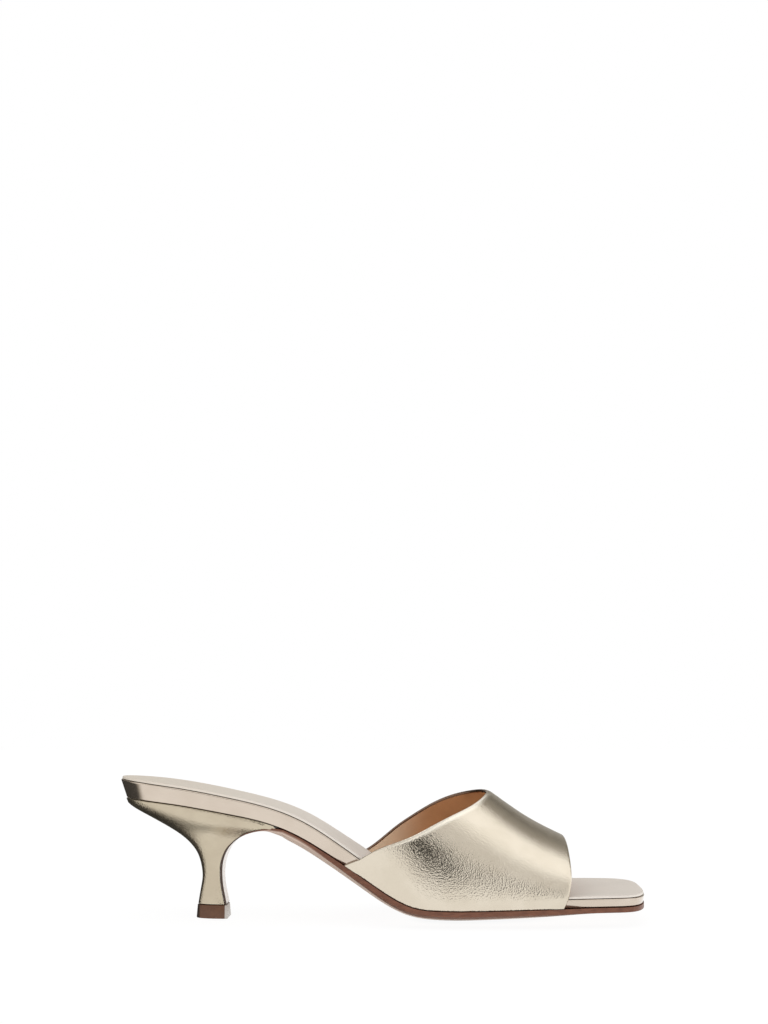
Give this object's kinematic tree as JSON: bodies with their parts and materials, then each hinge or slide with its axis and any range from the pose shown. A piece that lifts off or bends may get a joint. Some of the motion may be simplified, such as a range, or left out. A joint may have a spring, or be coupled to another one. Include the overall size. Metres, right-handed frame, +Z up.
{
  "type": "heeled leather mule sandal",
  "caption": "Backless pale gold leather sandal with a broad vamp, an open square toe and a low curved heel.",
  "frame": {"origin": "on the floor, under the middle of the shoe's box", "axes": "+X towards the toe, +Y towards the inner side of the foot, +Z up"},
  "size_m": [0.238, 0.0794, 0.0648],
  "materials": {
    "sole_leather": "brown edge and a paler rounded underside, satin",
    "gold_leather": "pale gold metallic foil on fine grained leather",
    "sock_leather": "smooth pale beige, satin",
    "tip_rubber": "firm brown top piece, satin"
  },
  "bodies": {
    "root": {"outsole": "sole_leather", "insole": "gold_leather", "sock": "sock_leather", "upper": "gold_leather", "heel": "gold_leather", "heel_tip": "tip_rubber"}
  },
  "joints": []
}
